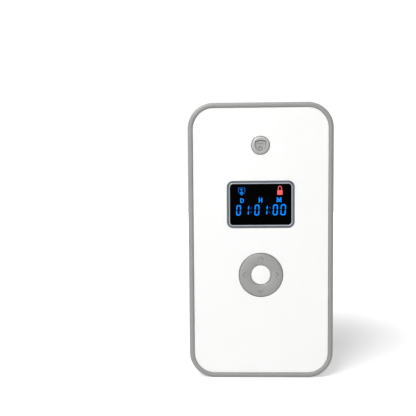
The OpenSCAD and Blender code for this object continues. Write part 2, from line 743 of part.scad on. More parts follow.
module nav_ring() {
  ro = ring_d / 2;
  ri = ring_hole_d / 2;
  color([0.62, 0.63, 0.63]) difference() {
    union() {
      translate([0, y_front + 2.3, nav_z]) rotate([90, 0, 0]) rotate_extrude() difference() {
        union() {
          translate([ri, 0]) square([ro - ri, 1.7]);
          translate([ri + 0.5, 0]) square([ro - ri - 1, 2.2]);
          translate([ri + 0.5, 1.7]) circle(r = 0.5, $fn = 32);
          translate([ro - 0.5, 1.7]) circle(r = 0.5, $fn = 32);
        }
        translate([ri - 1, -1]) square([11 - ri + 0, 1.6]);
      }
      for (a = [0 : 90 : 270])
        ycyl(12 * cos(a), nav_z + 12 * sin(a), y_front + 2.2, y_deck1 + 0.75, 1.8);
    }
    for (a = [0 : 90 : 270])
      slab(y_front - 1, y_front + 0.4) translate([0, nav_z]) rotate(a) chevron(13.5);
  }
}

module nav_rocker_plate() {
  y0 = y_front + 2.1;
  color([0.3, 0.3, 0.32]) {
    difference() {
      ycyl(0, nav_z, y0, y0 + 0.5, 9.4);
      ycyl(0, nav_z, y0 - 1, y0 + 2, 7.6);
    }
    // pads on the two tilting axes
    for (s = [-1, 1]) {
      block([-0.5, y0 + 0.4, nav_z + s * 8.5 - 0.7], [0.5, y_deck0 - 0.03, nav_z + s * 8.5 + 0.7]);
      block([s * 8.5 - 0.7, y_front + 1.73, nav_z - 0.5], [s * 8.5 + 0.7, y0 + 0.1, nav_z + 0.5]);
    }
  }
}

base_tub();
hinge_pin();
strike_plates();
strike_screws();
cavity_pad();
rubber_feet();
lid_shell();
face_plate();
trim_bead();
display_bezel();
display_glass();
lit_segments();
lit_padlock();
display_module();
main_board();
board_components();
tact_switches();
usb_port();
buzzer();
board_screws();
battery_cell();
battery_leads();
motor_can();
gearbox();
motor_clamp();
clamp_screws();
motor_leads();
latch_guides();
latch_switch();
inner_cover();
cover_screws();
mode_button();
centre_button();
nav_rocker_plate();
nav_ring();
latch_bar();
latch_hooks();
motor_shaft();
drive_pinion();
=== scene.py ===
import math

import bmesh
import bpy
import numpy as np
from mathutils import Matrix, Vector
from mathutils.geometry import tessellate_polygon


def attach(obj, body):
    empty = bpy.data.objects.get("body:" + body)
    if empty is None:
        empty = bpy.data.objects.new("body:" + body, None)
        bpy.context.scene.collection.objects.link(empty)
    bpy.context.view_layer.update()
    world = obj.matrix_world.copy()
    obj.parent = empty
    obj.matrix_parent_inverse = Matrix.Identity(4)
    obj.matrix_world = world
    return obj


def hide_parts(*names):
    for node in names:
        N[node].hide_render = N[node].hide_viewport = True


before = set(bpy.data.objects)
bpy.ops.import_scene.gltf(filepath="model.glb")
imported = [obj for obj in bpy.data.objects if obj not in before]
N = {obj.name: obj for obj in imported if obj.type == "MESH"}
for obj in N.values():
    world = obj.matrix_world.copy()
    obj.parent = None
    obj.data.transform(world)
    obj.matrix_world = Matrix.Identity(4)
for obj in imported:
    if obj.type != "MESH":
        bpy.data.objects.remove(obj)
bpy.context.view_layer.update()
scene = bpy.context.scene
MM = 0.001

# ------------------------------------------------------------------ sizes, in mm
BW, BH, CR = 107.0, 204.8, 19.0
ZC = BH / 2
Y_FRONT, Y_BACK = -29.0, 29.0
Y_SEAM = -5.0
Y_FACE = -28.3
Y_DECK0, Y_DECK1 = -25.8, -23.8
Y_COV0, Y_COV1 = -9.6, -8.0
Y_TUB1, Y_FLOOR = 27.8, 24.8
DISP_Z, MODE_Z, NAV_Z = 130.0, 173.4, 77.6


# ------------------------------------------------------------------ node helpers
def new_mat(name):
    m = bpy.data.materials.new(name)
    m.use_nodes = True
    nt = m.node_tree
    nt.nodes.clear()
    out = nt.nodes.new("ShaderNodeOutputMaterial")
    bsdf = nt.nodes.new("ShaderNodeBsdfPrincipled")
    nt.links.new(bsdf.outputs[0], out.inputs[0])
    co = nt.nodes.new("ShaderNodeTexCoord")
    return m, nt, bsdf, co.outputs["Object"]


def mapped(nt, vec, scale, rot=(0, 0, 0)):
    mp = nt.nodes.new("ShaderNodeMapping")
    mp.inputs["Scale"].default_value = scale
    mp.inputs["Rotation"].default_value = rot
    nt.links.new(vec, mp.inputs[0])
    return mp.outputs[0]


def noise(nt, vec, scale, detail=3.0, rough=0.5):
    n = nt.nodes.new("ShaderNodeTexNoise")
    n.inputs["Scale"].default_value = scale
    n.inputs["Detail"].default_value = detail
    n.inputs["Roughness"].default_value = rough
    nt.links.new(vec, n.inputs["Vector"])
    return n.outputs["Fac"]


def ramp(nt, fac, stops):
    r = nt.nodes.new("ShaderNodeValToRGB")
    els = r.color_ramp.elements
    while len(els) < len(stops):
        els.new(0.5)
    for e, (p, c) in zip(els, stops):
        e.position = p
        e.color = (*c, 1.0)
    nt.links.new(fac, r.inputs[0])
    return r.outputs[0]


def remap(nt, fac, lo, hi, a=0.3, b=0.7):
    m = nt.nodes.new("ShaderNodeMapRange")
    m.inputs["From Min"].default_value = a
    m.inputs["From Max"].default_value = b
    m.inputs["To Min"].default_value = lo
    m.inputs["To Max"].default_value = hi
    nt.links.new(fac, m.inputs["Value"])
    return m.outputs[0]


def bump(nt, height, strength, dist, normal=None):
    b = nt.nodes.new("ShaderNodeBump")
    b.inputs["Strength"].default_value = strength
    b.inputs["Distance"].default_value = dist
    nt.links.new(height, b.inputs["Height"])
    if normal is not None:
        nt.links.new(normal, b.inputs["Normal"])
    return b.outputs[0]


def tint(c, k):
    return tuple(min(1.0, x * k) for x in c)


def plastic(name, rgb, rough=0.35, vary=0.03, grain=2600.0, depth=0.00001, mottled=45.0, coat=0.0,
            spec=0.5, rough_vary=0.06, metallic=0.0, warm=0.0, speck=0.0):
    """Moulded or lacquered plastic: slow colour drift, a fine mould texture, slight change of gloss."""
    m, nt, b, co = new_mat(name)
    slow = noise(nt, co, mottled, 4.0, 0.55)
    lo = tint(rgb, 1 - vary)
    hi = tint((rgb[0] * (1 + warm), rgb[1], rgb[2] * (1 - warm)), 1 + vary)
    col = ramp(nt, slow, [(0.25, lo), (0.75, hi)])
    if speck > 0:
        fine = noise(nt, co, 5200.0, 1.0, 0.5)
        sp = ramp(nt, fine, [(0.35, (1 - speck,) * 3), (0.6, (1.0,) * 3)])
        mix = nt.nodes.new("ShaderNodeMix")
        mix.data_type = "RGBA"
        mix.blend_type = "MULTIPLY"
        mix.inputs["Factor"].default_value = 1.0
        nt.links.new(col, mix.inputs["A"])
        nt.links.new(sp, mix.inputs["B"])
        col = mix.outputs["Result"]
    nt.links.new(col, b.inputs["Base Color"])
    r = remap(nt, noise(nt, co, 320.0, 3.0, 0.6), rough - rough_vary, rough + rough_vary)
    nt.links.new(r, b.inputs["Roughness"])
    nt.links.new(bump(nt, noise(nt, co, grain, 2.0, 0.5), 0.6, depth), b.inputs["Normal"])
    b.inputs["Metallic"].default_value = metallic
    b.inputs["Specular IOR Level"].default_value = spec
    b.inputs["Coat Weight"].default_value = coat
    b.inputs["Coat Roughness"].default_value = 0.12
    return m


def metal(name, rgb, rough=0.37, direction=(30.0, 30.0, 900.0), depth=0.000006, stain=0.12):
    """Rolled or machined metal: fine streaks along one direction and faint stains."""
    m, nt, b, co = new_mat(name)
    streak = noise(nt, mapped(nt, co, direction), 6.0, 5.0, 0.6)
    col = ramp(nt, noise(nt, co, 140.0, 5.0, 0.6), [(0.3, tint(rgb, 1 - stain)), (0.7, tint(rgb, 1 + stain * 0.4))])
    nt.links.new(col, b.inputs["Base Color"])
    nt.links.new(remap(nt, streak, rough - 0.08, rough + 0.14), b.inputs["Roughness"])
    nt.links.new(bump(nt, streak, 0.5, depth), b.inputs["Normal"])
    b.inputs["Metallic"].default_value = 1.0
    return m


def lit(name, rgb, strength, dark=0.72):
    """A lit sign behind the window: a little uneven like a light guide."""
    m, nt, b, co = new_mat(name)
    uneven = noise(nt, co, 420.0, 2.0, 0.5)
    col = ramp(nt, uneven, [(0.3, tint(rgb, dark)), (0.62, rgb)])
    nt.links.new(col, b.inputs["Emission Color"])
    b.inputs["Emission Strength"].default_value = strength
    b.inputs["Base Color"].default_value = (rgb[0] * 0.05, rgb[1] * 0.05, rgb[2] * 0.05, 1)
    b.inputs["Roughness"].default_value = 0.4
    b.inputs["Specular IOR Level"].default_value = 0.1
    return m


M = {}
M["shell"] = plastic("shell_white_satin", (0.85, 0.85, 0.842), rough=0.38, vary=0.012, grain=3400.0, depth=0.000012)
M["face"] = plastic("face_white_gloss", (0.862, 0.862, 0.856), rough=0.29, vary=0.005, grain=320.0, depth=0.00000012, coat=0.1, rough_vary=0.006)
M["bead"] = plastic("bead_grey_satin", (0.290, 0.297, 0.286), rough=0.42, vary=0.03, grain=3800.0, depth=0.000014, speck=0.05)
M["bezel"] = plastic("bezel_silver_lacquer", (0.418, 0.455, 0.503), rough=0.325, vary=0.02, grain=2600.0, depth=0.0000015, speck=0.04, metallic=0.35, rough_vary=0.04)
M["control"] = plastic("control_silver_lacquer", (0.330, 0.335, 0.324), rough=0.34, vary=0.02, grain=2600.0, depth=0.0000015, speck=0.05, metallic=0.25, rough_vary=0.04, coat=0.25)
# painted shade: near-black for the walls of the face's openings, a lighter grey round the mode key
M["cut"] = plastic("face_cut_edge", (0.05, 0.05, 0.052), rough=0.6, vary=0.1, mottled=300.0)
M["cut_soft"] = plastic("face_cut_edge_lit", (0.24, 0.24, 0.235), rough=0.6, vary=0.08, mottled=300.0)
# painted shade: darkest grey for the top wall of the shield recess on the mode key
M["control_dark"] = plastic("control_shield_top_painted_shade", (0.187, 0.182, 0.166), rough=0.5, vary=0.05, grain=2600.0, depth=0.000004, speck=0.08)
# painted shade: a darker grey in the nav ring's debossed chevrons
M["control_mid"] = plastic("control_chevron_painted_shade", (0.288, 0.291, 0.284), rough=0.46, vary=0.04, grain=2600.0, depth=0.000003, speck=0.08)
# painted highlight: a lighter grey for the slope round the mode key's face
M["cut_rim"] = plastic("control_rim_painted_highlight", (0.475, 0.48, 0.465), rough=0.5, vary=0.02, grain=2600.0, depth=0.0000012, speck=0.04, metallic=0.15, rough_vary=0.04)
M["control_light"] = plastic("control_field_grey", (0.395, 0.40, 0.388), rough=0.44, vary=0.02, grain=2600.0, depth=0.0000012, speck=0.04, metallic=0.2, rough_vary=0.04)
M["control_deep"] = plastic("control_shadow_grey", (0.255, 0.256, 0.248), rough=0.5, vary=0.05, grain=2600.0, depth=0.000003, speck=0.06)
# painted shade: a darker grey for the sloping groove of the display surround
M["bezel_dark"] = plastic("bezel_groove_painted_shade", (0.223, 0.238, 0.264), rough=0.42, vary=0.05, grain=2600.0, depth=0.000002, speck=0.05)
M["centre"] = plastic("centre_key_white", (0.862, 0.862, 0.846), rough=0.34, vary=0.01, grain=3000.0, depth=0.000006)
M["glass"] = plastic("window_black", (0.0004, 0.0004, 0.0005), rough=0.14, vary=0.3, grain=900.0, depth=0.000001, spec=0.01, rough_vary=0.04)
M["blue"] = lit("lit_blue_sign", (0.0, 0.262, 1.0), 1.05, dark=0.9)
M["blue_dim"] = lit("lit_blue_dim", (0.0, 0.085, 0.42), 1.0)
M["red"] = lit("lit_red_sign", (1.0, 0.145, 0.155), 1.0, dark=0.86)
M["red_dim"] = lit("lit_red_dim", (0.80, 0.10, 0.11), 1.0, dark=0.86)
M["module"] = plastic("module_black", (0.025, 0.025, 0.027), rough=0.55, vary=0.15)
M["board"] = plastic("board_solder_mask", (0.02, 0.15, 0.07), rough=0.35, vary=0.25, mottled=260.0, grain=1500.0, depth=0.00002, coat=0.3)
M["chip"] = plastic("chip_black", (0.022, 0.022, 0.024), rough=0.5, vary=0.2)
M["steel"] = metal("zinc_plated_steel", (0.60, 0.61, 0.62))
M["steel_pin"] = metal("ground_steel", (0.56, 0.56, 0.57), rough=0.37, direction=(30.0, 30.0, 60.0))
M["brass"] = metal("machined_brass", (0.60, 0.44, 0.19), rough=0.37, direction=(900.0, 30.0, 30.0))
M["foil"] = metal("cell_foil", (0.68, 0.69, 0.70), rough=0.42, direction=(60.0, 60.0, 60.0), depth=0.00003)
M["acetal"] = plastic("acetal_natural", (0.80, 0.78, 0.72), rough=0.42, vary=0.03)
M["guide"] = plastic("guide_black", (0.035, 0.035, 0.037), rough=0.45, vary=0.15)
M["rocker"] = plastic("rocker_silicone", (0.085, 0.085, 0.09), rough=0.7, vary=0.1)
M["foot"] = plastic("foot_rubber", (0.20, 0.20, 0.20), rough=0.82, vary=0.12, grain=2200.0, depth=0.00004, mottled=300.0)
M["wire_red"] = plastic("wire_red", (0.45, 0.02, 0.02), rough=0.4, vary=0.08)


def foam(name, rgb):
    m, nt, b, co = new_mat(name)
    cells = nt.nodes.new("ShaderNodeTexVoronoi")
    cells.inputs["Scale"].default_value = 1500.0
    nt.links.new(co, cells.inputs["Vector"])
    slow = noise(nt, co, 60.0, 4.0, 0.6)
    nt.links.new(ramp(nt, slow, [(0.3, tint(rgb, 0.95)), (0.7, tint(rgb, 1.05))]), b.inputs["Base Color"])
    nt.links.new(bump(nt, cells.outputs["Distance"], 0.8, 0.00012), b.inputs["Normal"])
    b.inputs["Roughness"].default_value = 0.95
    b.inputs["Sheen Weight"].default_value = 0.25
    b.inputs["Specular IOR Level"].default_value = 0.2
    return m


M["foam"] = foam("cavity_foam", (0.075, 0.077, 0.082))


# ------------------------------------------------------------------ mesh helpers (mm in, metres out)
def add(name, verts, faces, mats, body, nodes=(), flat=(), sharp=None, fix=True):
    me = bpy.data.meshes.new(name)
    me.from_pydata([tuple(c * MM for c in v) for v in verts], [], [list(f) for f in faces])
    me.validate()
    bm = bmesh.new()
    bm.from_mesh(me)
    if fix:
        bmesh.ops.remove_doubles(bm, verts=bm.verts, dist=1e-7)
        bmesh.ops.recalc_face_normals(bm, faces=bm.faces)
    for f in bm.faces:
        f.smooth = True
    bm.to_mesh(me)
    bm.free()
    me.set_sharp_from_angle(angle=math.radians(sharp if sharp else 32))
    o = bpy.data.objects.new(name, me)
    scene.collection.objects.link(o)
    for m in (mats if isinstance(mats, (list, tuple)) else [mats]):
        me.materials.append(m)
    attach(o, body)
    if nodes:
        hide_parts(*nodes)
    return o


def rr(w, h, r, cx=0.0, cz=0.0, n=10, off=0.0):
    """A rectangle with round corners in X and Z, pulled in by off, as points."""
    w, h, r = w - 2 * off, h - 2 * off, max(r - off, 0.02)
    pts = []
    for k, (sx, sz) in enumerate(((1, 1), (-1, 1), (-1, -1), (1, -1))):
        for i in range(n + 1):
            a = math.radians(90 * k + 90 * i / n)
            pts.append((cx + sx * (w / 2 - r) + r * math.cos(a), cz + sz * (h / 2 - r) + r * math.sin(a)))
    return pts


def circ(r, cx=0.0, cz=0.0, n=96, off=0.0):
    return [(cx + (r - off) * math.cos(2 * math.pi * i / n), cz + (r - off) * math.sin(2 * math.pi * i / n)) for i in range(n)]


def box_loop(off, n=28):
    return rr(BW, BH, CR, 0, ZC, n, off)


class Build:
    """Collects loops of points and the faces between them."""

    def __init__(self):
        self.v, self.f = [], []

    def loop(self, pts, y):
        i = len(self.v)
        self.v += [(p[0], y, p[1]) for p in pts]
        return (i, len(pts))

    def loop3(self, pts):
        i = len(self.v)
        self.v += [tuple(p) for p in pts]
        return (i, len(pts))

    def skin(self, a, b):
        (i, n), (j, m) = a, b
        assert n == m
        for k in range(n):
            q = (k + 1) % n
            self.f.append((i + k, i + q, j + q, j + k))

    def chain(self, loops, closed=False):
        for a, b in zip(loops, loops[1:]):
            self.skin(a, b)
        if closed:
            self.skin(loops[-1], loops[0])

    def cap(self, loops):
        idx = [k for (i, n) in loops for k in range(i, i + n)]
        tris = tessellate_polygon([[Vector((self.v[k][0], self.v[k][2], 0)) for k in range(i, i + n)] for (i, n) in loops])
        for t in tris:
            self.f.append(tuple(idx[k] for k in t))


def quarter(r, a0, a1, n=4):
    return [(r * math.cos(math.radians(a0 + (a1 - a0) * i / n)), r * math.sin(math.radians(a0 + (a1 - a0) * i / n))) for i in range(n + 1)]


def edge_path(y0, y1, bf, bb, n=4):
    """(off, y) from the front cap round to the back cap, with rounded edges bf and bb."""
    p = []
    if bf > 0:
        p += [(bf - bf * math.sin(math.radians(90 * i / n)), y0 + bf - bf * math.cos(math.radians(90 * i / n))) for i in range(n + 1)]
    else:
        p += [(0, y0)]
    if bb > 0:
        p += [(bb - bb * math.cos(math.radians(90 * i / n)), y1 - bb + bb * math.sin(math.radians(90 * i / n))) for i in range(n + 1)]
    else:
        p += [(0, y1)]
    return p


def plate(outer, holes, y0, y1, bf, bb, n=4, b=None):
    """A flat plate with holes and rounded edges. outer and holes are functions of the inset."""
    b = b or Build()
    path = edge_path(y0, y1, bf, bb, n)
    first, last = [], []
    for k, fn in enumerate([outer, *holes]):
        s = 1 if k == 0 else -1
        loops = [b.loop(fn(s * off), y) for off, y in path]
        b.chain(loops)
        first.append(loops[0])
        last.append(loops[-1])
    b.cap(first)
    b.cap(last)
    return b


def flat_caps(o, area=1e-12):
    """The flat faces keep a flat shade, so the rounded edges don't bleed over them."""
    me = o.data
    for p in me.polygons:
        if p.area > area and max(abs(c) for c in p.normal) > 0.99999:
            p.use_smooth = False


def offset_poly(pts, d):
    """Moves each side of a closed polygon inwards by d (counter-clockwise polygon)."""
    n = len(pts)
    area = sum(pts[i][0] * pts[(i + 1) % n][1] - pts[(i + 1) % n][0] * pts[i][1] for i in range(n))
    s = 1 if area > 0 else -1
    out = []
    for i in range(n):
        p0, p1, p2 = np.array(pts[i - 1]), np.array(pts[i]), np.array(pts[(i + 1) % n])
        a, c = p1 - p0, p2 - p1
        a, c = a / (np.linalg.norm(a) + 1e-12), c / (np.linalg.norm(c) + 1e-12)
        n1, n2 = s * np.array([-a[1], a[0]]), s * np.array([-c[1], c[0]])
        m = n1 + n2
        k = m @ m
        out.append(tuple(p1 + m * (2 * d / k)) if k > 1e-6 else tuple(p1 + n1 * d))
    return out


def poly_sdf(px, pz, poly):
    """Signed distance to a polygon, negative inside, for arrays of points."""
    p = np.array(poly, float)
    d = np.full(px.shape, 1e9)
    inside = np.zeros(px.shape, bool)
    for i in range(len(p)):
        a, b = p[i - 1], p[i]
        e = b - a
        wx, wz = px - a[0], pz - a[1]
        t = np.clip((wx * e[0] + wz * e[1]) / (e @ e + 1e-12), 0, 1)
        d = np.minimum(d, np.hypot(wx - t * e[0], wz - t * e[1]))
        c = ((a[1] > pz) != (b[1] > pz)) & (px < (b[0] - a[0]) * (pz - a[1]) / ((b[1] - a[1]) if abs(b[1] - a[1]) > 1e-12 else 1e-12) + a[0])
        inside ^= c
    return np.where(inside, -d, d)


def step(d, w):
    """1 inside a shape, 0 outside, smooth over w about its edge."""
    t = np.clip(0.5 - d / w, 0, 1)
    return t * t * (3 - 2 * t)


def shield(w, h, cx=0.0, cz=0.0):
    """A plain heater shield, as points."""
    half = [(0, 0.5), (0.22, 0.47), (0.38, 0.43), (0.5, 0.42), (0.5, 0.10), (0.485, -0.06), (0.43, -0.20), (0.33, -0.33), (0.18, -0.44), (0, -0.52)]
    pts = [(cx - x * w, cz + z * h) for x, z in half]
    pts += [(cx + x * w, cz + z * h) for x, z in half[-2:0:-1]]
    return pts


def paint(o, rule):
    """Gives each face of a piece the material that rule(x, y, z, normal) picks, in mm."""
    for p in o.data.polygons:
        k = rule(p.center.x / MM, p.center.y / MM, p.center.z / MM, p.normal)
        if k is not None:
            p.material_index = k


# ------------------------------------------------------------------ grey bead round the face
def make_bead():
    """Rounded towards the outside, flatter towards the face."""
    w, crest, top, drop = 3.65, 2.25, 0.985, 1.75
    b = Build()
    path = []
    for i in range(13):
        u = top * math.cos(math.radians(90 * i / 12))
        path.append((crest * (1 - u / top), Y_FRONT + drop * (1 - math.sqrt(1 - u * u)) / (1 - math.sqrt(1 - top * top))))
    for i in range(1, 6):
        v = i / 5
        path.append((crest + (w - 0.12 - crest) * v, Y_FRONT + 0.38 * v * v))
    path += [(w - 0.03, Y_FRONT + 0.47), (w, Y_FRONT + 0.6), (w, -26.2), (w - 0.15, -25.86), (w - 0.3, Y_DECK0), (0.3, Y_DECK0), (0.12, -25.86), (0.0, -26.05)]
    loops = [b.loop(box_loop(d), y) for d, y in path]
    b.chain(loops, closed=True)
    return add("bead", b.v, b.f, M["bead"], "lid", ["trim_bead"], sharp=40)


make_bead()


# ------------------------------------------------------------------ white face plate
def make_face():
    b = Build()
    holes = [lambda o: rr(49.9, 35.0, 4.65, 0, DISP_Z, 10, o),
             lambda o: circ(6.93, 0, MODE_Z, 96, o),
             lambda o: circ(16.5, 0, NAV_Z, 128, o)]
    outer = lambda o: box_loop(3.65 + 0.18 + o)
    plate(outer, holes, Y_FACE, Y_DECK0, 0.22, 0.1, 5, b)
    o = add("face_panel", b.v, b.f, [M["face"], M["cut"], M["cut_soft"]], "lid", ["face_plate"], sharp=60)
    flat_caps(o)
    # the walls of the openings are painted dark as shade in the gaps round the keys and display; round the mode key
    # this painted shade is lighter
    for p in o.data.polygons:
        if abs(p.normal.y) < 0.55 and abs(p.center.x) < 0.0262 and 0.05 < p.center.z < 0.185 and p.center.y > Y_FACE * MM + 0.00012:
            p.material_index = 2 if p.center.z > 0.16 else 1
    return o


make_face()


# ------------------------------------------------------------------ display bezel, window and lit signs
def make_display():
    b = Build()
    path = [(0.0, -26.0), (0.0, -28.12), (0.04, -28.22), (0.12, -28.25), (0.22, -28.20), (0.5, -27.72), (0.8, -27.20), (0.95, -26.98), (1.05, -27.0),
            (1.12, -27.6), (1.2, -28.2), (1.3, -28.40), (1.46, -28.50), (1.75, -28.51), (1.92, -28.46), (2.04, -28.34), (2.1, -28.15),
            (2.12, -27.8), (2.12, -26.0), (1.95, Y_DECK0), (0.2, Y_DECK0)]
    loops = [b.loop(rr(49.5, 34.6, 4.5, 0, DISP_Z, 12, d), y) for d, y in path]
    b.chain(loops, closed=True)
    o = add("display_surround", b.v, b.f, [M["bezel"], M["bezel_dark"]], "lid", ["display_bezel"], sharp=60)
    # painted shade: the faces of the sloping groove inside the outer lip get the darker grey
    groove = rr(49.5, 34.6, 4.5, 0, DISP_Z, 12, 1.16)
    cx = np.array([p.center.x / MM for p in o.data.polygons])
    cz = np.array([p.center.z / MM for p in o.data.polygons])
    d = poly_sdf(cx, cz, groove)
    lip = poly_sdf(cx, cz, rr(49.5, 34.6, 4.5, 0, DISP_Z, 12, 0.16))
    for p, v, w in zip(o.data.polygons, d, lip):
        if v > 0 and w < 0:
            p.material_index = 1
    b = Build()
    plate(lambda o: rr(45.2, 30.3, 2.35, 0, DISP_Z, 8, o), [], -27.9, -26.7, 0.12, 0.12, 3, b)
    o = add("display_window", b.v, b.f, M["glass"], "lid", ["display_glass"], sharp=60)
    flat_caps(o)


make_display()

Y_SIGN0, Y_SIGN1 = -27.98, -27.9
SLANT = math.tan(math.radians(3.0))


def sign(b, pts, mids=()):
    """A thin lit shape: outline in mm from the middle of the display, with inner outlines cut out."""
    w = lambda q: [(x, z + DISP_Z) for x, z in q]
    plate(lambda o: w(pts), [(lambda o, q=q: w(q)) for q in mids], Y_SIGN0, Y_SIGN1, 0, 0, 1, b)


def slanted(pts, foot):
    return [(x + (z - foot) * SLANT, z) for x, z in pts]


def half_zero(x0, x1, z0, z1, t, up):
    """The top or bottom half of a nought: two posts joined by a bar, corners cut."""
    c = 1.1
    outer = [(x0, z0), (x0, z1 - c), (x0 + c * 0.42, z1 - c * 0.3), (x0 + c, z1), (x1 - c, z1), (x1 - c * 0.42, z1 - c * 0.3), (x1, z1 - c), (x1, z0)]
    k = 0.5
    inner = [(x1 - t * 0.55, z0 - 0.42), (x1 - t, z0), (x1 - t, z1 - t - k), (x1 - t - k, z1 - t), (x0 + t + k, z1 - t), (x0 + t, z1 - t - k), (x0 + t, z0), (x0 + t * 0.45, z0 - 0.42)]
    pts = outer + inner
    if not up:
        m = (z0 + z1) / 2
        pts = [(x, 2 * m - z) for x, z in pts][::-1]
    return pts


def nought(b, x, foot, w=3.6, h=8.0, t=0.86):
    mid = foot + h / 2
    sign(b, slanted(half_zero(x, x + w, mid + 0.58, foot + h, t, True), foot))
    sign(b, slanted(half_zero(x, x + w, foot, mid - 0.58, t, False), foot))


def one(b, x, foot, h=6.5, t=0.84):
    mid = foot + h / 2
    g = 0.52
    sign(b, slanted([(x, mid + g + 0.35), (x + t * 0.55, mid + g - 0.1), (x + t, mid + g + 0.35), (x + t, foot + h), (x + t * 0.72, foot + h), (x, foot + h - 0.9)], foot))
    sign(b, slanted([(x, foot + 0.15), (x + t * 0.5, foot - 0.05), (x + t, foot + 0.35), (x + t, mid - g - 0.35), (x + t * 0.45, mid - g + 0.1), (x, mid - g - 0.35)], foot))


def disc(r, cx, cz, n=28):
    return [(cx + r * math.cos(2 * math.pi * i / n), cz + r * math.sin(2 * math.pi * i / n)) for i in range(n)]


def letter_d(x0, z0, w, h, t):
    def shape(x0, z0, w, h, r, n=7):
        pts = [(x0, z0), (x0 + w - r, z0)]
        pts += [(x0 + w - r + r * math.sin(math.radians(90 * i / n)), z0 + r - r * math.cos(math.radians(90 * i / n))) for i in range(1, n + 1)]
        pts += [(x0 + w - r + r * math.cos(math.radians(90 * i / n)), z0 + h - r + r * math.sin(math.radians(90 * i / n))) for i in range(n + 1)]
        return pts + [(x0, z0 + h)]
    return shape(x0, z0, w, h, w * 0.52), shape(x0 + t, z0 + t, w - 2 * t, h - 2 * t, (w - 2 * t) * 0.52, 5)


def make_signs():
    b = Build()
    nought(b, -18.3, -8.1, w=3.6, h=7.8)
    one(b, -9.6, -7.4)
    nought(b, -4.8, -8.15, w=3.65, h=8.1)
    one(b, 4.05, -7.35)
    nought(b, 8.7, -8.05, w=3.75, h=8.1)
    nought(b, 14.35, -8.05, w=4.0, h=8.15)
    o, i = letter_d(-15.05, 1.3, 2.65, 3.3, 0.72)
    sign(b, o, [i])
    # H with its legs waisted, as a narrow lit letter reads
    sign(b, [(-1.5, 1.45), (-0.7, 1.45), (-0.66, 2.95), (0.42, 2.95), (0.46, 1.45), (1.26, 1.45), (1.18, 3.25), (1.26, 5.05), (0.46, 5.05),
             (0.42, 3.55), (-0.66, 3.55), (-0.7, 5.05), (-1.5, 5.05), (-1.42, 3.25)])
    # M
    sign(b, [(11.75, 1.6), (12.6, 1.6), (12.68, 3.2), (13.15, 1.85), (13.95, 1.85), (14.42, 3.2), (14.5, 1.6), (15.35, 1.6), (15.2, 5.15),
             (14.3, 5.15), (13.55, 3.45), (12.8, 5.15), (11.9, 5.15)])
    # inside the shield: a bar over a ring that ends in a point
    cx = -13.98
    sign(b, [(cx - 1.0, 10.7), (cx + 0.6, 10.7), (cx + 0.6, 11.35), (cx - 1.0, 11.35)])
    sign(b, [(cx - 0.5, 9.95), (cx - 0.05, 9.95), (cx - 0.05, 10.5), (cx - 0.5, 10.5)])
    sign(b, disc(1.12, cx, 8.5), [disc(0.4, cx, 8.5)])
    sign(b, [(cx - 0.9, 7.7), (cx, 6.75), (cx + 0.9, 7.7), (cx, 7.35)])
    add("time_signs", b.v, b.f, M["blue"], "lid", ["lit_segments"], sharp=30)
    b = Build()
    badge = lambda w, h, z: [(cx + x * w, z + y * h) for x, y in ((-0.5, 0.5), (0.5, 0.5), (0.5, -0.05), (0.42, -0.2), (0, -0.5), (-0.42, -0.2), (-0.5, -0.05))]
    sign(b, badge(5.15, 5.7, 9.7), [badge(4.0, 4.45, 9.72)])
    for x, z in ((-6.85, -2.6), (-6.97, -5.75), (6.72, -2.35), (6.5, -5.75)):
        sign(b, disc(0.45, x, z, 16))
    add("dim_signs", b.v, b.f, M["blue_dim"], "lid", [], sharp=30)
    b = Build()
    x0, x1, z0, z1 = 12.2, 16.1, 7.1, 10.45
    body = rr(x1 - x0, z1 - z0, 0.3, (x0 + x1) / 2, (z0 + z1) / 2, 4)
    xc = (x0 + x1) / 2
    key = [(xc - 0.5, 9.2), (xc, 8.95), (xc + 0.5, 9.2), (xc + 0.45, 8.7), (xc, 8.1), (xc - 0.45, 8.7)]
    sign(b, body, [key])
    arc = lambda r, rev=False: [(xc + r * math.cos(math.radians(a)), 12.2 + r * math.sin(math.radians(a))) for a in (range(180, -1, -12) if rev else range(0, 181, 12))]
    sign(b, [(xc + 1.45, 10.45)] + arc(1.45) + [(xc - 1.45, 10.45), (xc - 0.92, 10.45)] + arc(0.92, True) + [(xc + 0.92, 10.45)])
    add("padlock_sign", b.v, b.f, M["red"], "lid", ["lit_padlock"], sharp=30)
    b = Build()
    sign(b, offset_poly(key, 0.02))
    add("padlock_keyhole", b.v, b.f, M["red_dim"], "lid", [], sharp=30)


make_signs()


# ------------------------------------------------------------------ round keys
def height_disc(name, cz, r_list, ang, front, extra, mat, body, nodes, slot, r_in=0.0):
    """A round key: rings of points whose Y comes from front(r) plus relief extra(x, z), or is given for the rings round
    the back; the rings are joined, and the caller closes the piece.
    """
    b = Build()
    a = np.radians(ang)
    loops = []
    for r, y in r_list:
        x, z = r * np.cos(a), r * np.sin(a)
        yy = np.full(x.shape, y, float) if y is not None else front(r) + extra(x, z)
        loops.append(b.loop3(np.stack([x, yy, z + cz], 1).tolist()))
    b.chain(loops)
    return b, loops


def front_mode(r):
    """Front of the mode key: a rounded rim, a soft slope up to the face that is painted lighter as a highlight, the
    face slightly dished.
    """
    if r > 6.45:
        t = min(1.0, (r - 6.45) / 0.3)
        return -28.2 + 0.5 * (1 - math.sqrt(max(0.0, 1 - t * t)))
    if r > 5.2:
        t = (6.45 - r) / 1.25
        return -28.2 - 0.72 * math.sin(math.radians(90 * t)) ** 0.92
    return -28.92 + 0.08 * (1 - (r / 5.2) ** 2)


